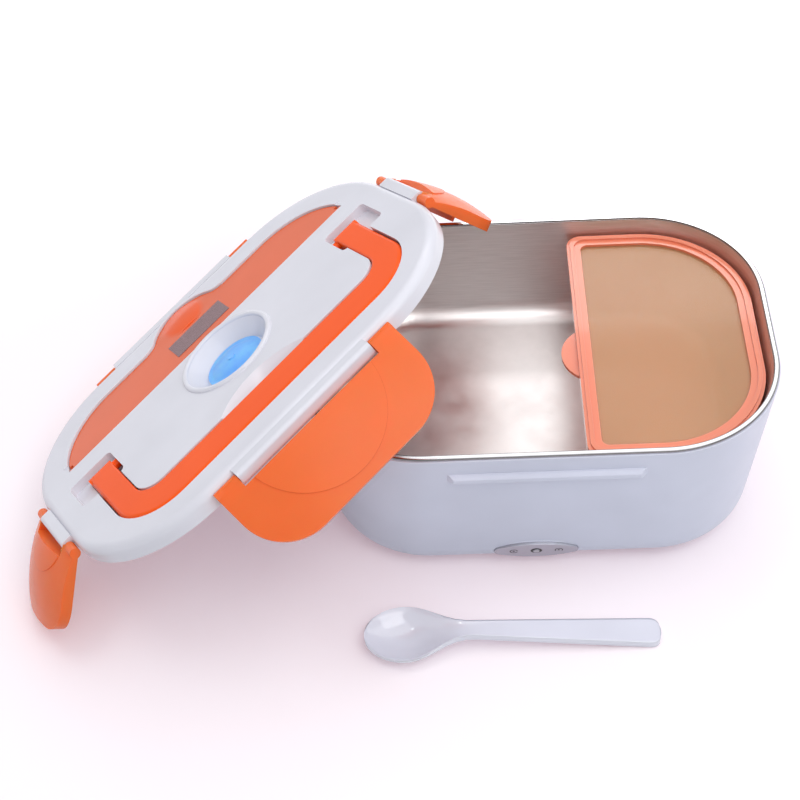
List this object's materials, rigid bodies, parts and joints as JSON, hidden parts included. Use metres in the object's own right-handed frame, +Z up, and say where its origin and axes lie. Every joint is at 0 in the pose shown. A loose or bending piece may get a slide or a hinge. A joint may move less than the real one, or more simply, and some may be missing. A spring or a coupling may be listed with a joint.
{
  "type": "electric lunch box",
  "caption": "Heated lunch box with steel liner, lidded inner container, leaning latch-down lid with folding handle, spoon bay and vent, and a spoon.",
  "frame": {"origin": "centre of the base's footprint on the surface it stands on", "axes": "+X along the length of the base, -Y towards the front wall with the lamp plate, +Z up"},
  "size_m": [0.3861, 0.2463, 0.157],
  "materials": {
    "base_white": "satin gloss",
    "cover_grey": "fine texture",
    "screw_steel": "plated",
    "foot_rubber": "matte",
    "liner_steel": "brushed",
    "heater_aluminium": "plain",
    "element_ceramic": "matte",
    "strap_steel": "plain",
    "control_black": "matte",
    "fuse_white": "matte",
    "wire_red": "satin",
    "plate_silver": "satin",
    "lamp_lens": "clear tinted",
    "inlet_black": "matte",
    "pin_brass": "plated",
    "lid_white": "satin gloss",
    "lid_inner_white": "satin",
    "seal_silicone": "translucent",
    "cover_salmon": "translucent gloss",
    "label_grey": "fine print grey",
    "vent_blue": "translucent",
    "handle_orange": "satin gloss",
    "latch_orange": "satin gloss",
    "cup_coral": "translucent",
    "frame_coral": "translucent gloss",
    "panel_clear": "clear hazy",
    "spoon_white": "gloss"
  },
  "bodies": {
    "base": {"base_shell": "base_white", "bottom_cover": "cover_grey", "bottom_screws": "screw_steel", "rubber_feet": "foot_rubber", "steel_liner": "liner_steel", "heat_spreader": "heater_aluminium", "heating_element": "element_ceramic", "heater_strap": "strap_steel", "thermostat": "control_black", "thermal_fuse": "fuse_white", "heater_wires": "wire_red", "lamp_plate": "plate_silver", "indicator_lamp": "lamp_lens", "power_inlet": "inlet_black", "inlet_pins": "pin_brass"},
    "lid": {"lid_shell": "lid_white", "lid_inner_plate": "lid_inner_white", "lid_seal": "seal_silicone"},
    "handle": {"carry_handle": "handle_orange"},
    "bay_cover": {"spoon_cover": "cover_salmon", "cover_label": "label_grey"},
    "plug": {"vent_plug": "vent_blue"},
    "front_latch": {"latch_front": "latch_orange"},
    "back_latch": {"latch_back": "latch_orange"},
    "left_latch": {"latch_left": "latch_orange"},
    "right_latch": {"latch_right": "latch_orange"},
    "container": {"container_cup": "cup_coral"},
    "container_lid": {"container_lid_frame": "frame_coral", "container_lid_panel": "panel_clear"},
    "spoon": {"spoon": "spoon_white"}
  },
  "joints": [
    {"name": "lid_lift", "type": "slide", "parent": "base", "child": "lid", "axis": [0, 0, 1], "range_m": [0, 0.12]},
    {"name": "handle_swing", "type": "hinge", "parent": "lid", "child": "handle", "pos_m": [-0.15783, 0.00008, 0.08891], "axis": [-0.7218, -0.595, -0.3535], "range_deg": [0, 95]},
    {"name": "bay_cover_hinge", "type": "hinge", "parent": "lid", "child": "bay_cover", "pos_m": [-0.17049, 0.02002, 0.08121], "axis": [0.7218, 0.595, 0.3535], "range_deg": [0, 95]},
    {"name": "vent_pull", "type": "slide", "parent": "lid", "child": "plug", "axis": [-0.5208, 0.1306, 0.8436], "range_m": [0, 0.003]},
    {"name": "front_latch_hinge", "type": "hinge", "parent": "lid", "child": "front_latch", "pos_m": [-0.11291, -0.07729, 0.12744], "axis": [-0.7218, -0.595, -0.3535], "range_deg": [-20, 60]},
    {"name": "back_latch_hinge", "type": "hinge", "parent": "lid", "child": "back_latch", "pos_m": [-0.19468, 0.06498, 0.05493], "axis": [0.7218, 0.595, 0.3535], "range_deg": [0, 95]},
    {"name": "left_latch_hinge", "type": "hinge", "parent": "lid", "child": "left_latch", "pos_m": [-0.24308, -0.07976, 0.04746], "axis": [-0.4558, 0.793, -0.4042], "range_deg": [-50, 45]},
    {"name": "right_latch_hinge", "type": "hinge", "parent": "lid", "child": "right_latch", "pos_m": [-0.06451, 0.06745, 0.13491], "axis": [0.4558, -0.793, 0.4042], "range_deg": [-2, 70]},
    {"name": "container_lift", "type": "slide", "parent": "base", "child": "container", "axis": [0, 0, 1], "range_m": [0, 0.08]},
    {"name": "container_lid_lift", "type": "slide", "parent": "container", "child": "container_lid", "axis": [0, 0, 1], "range_m": [0, 0.03]},
    {"name": "spoon_lift", "type": "slide", "parent": "base", "child": "spoon", "axis": [0, 0, 1], "range_m": [0, 0.05]}
  ]
}
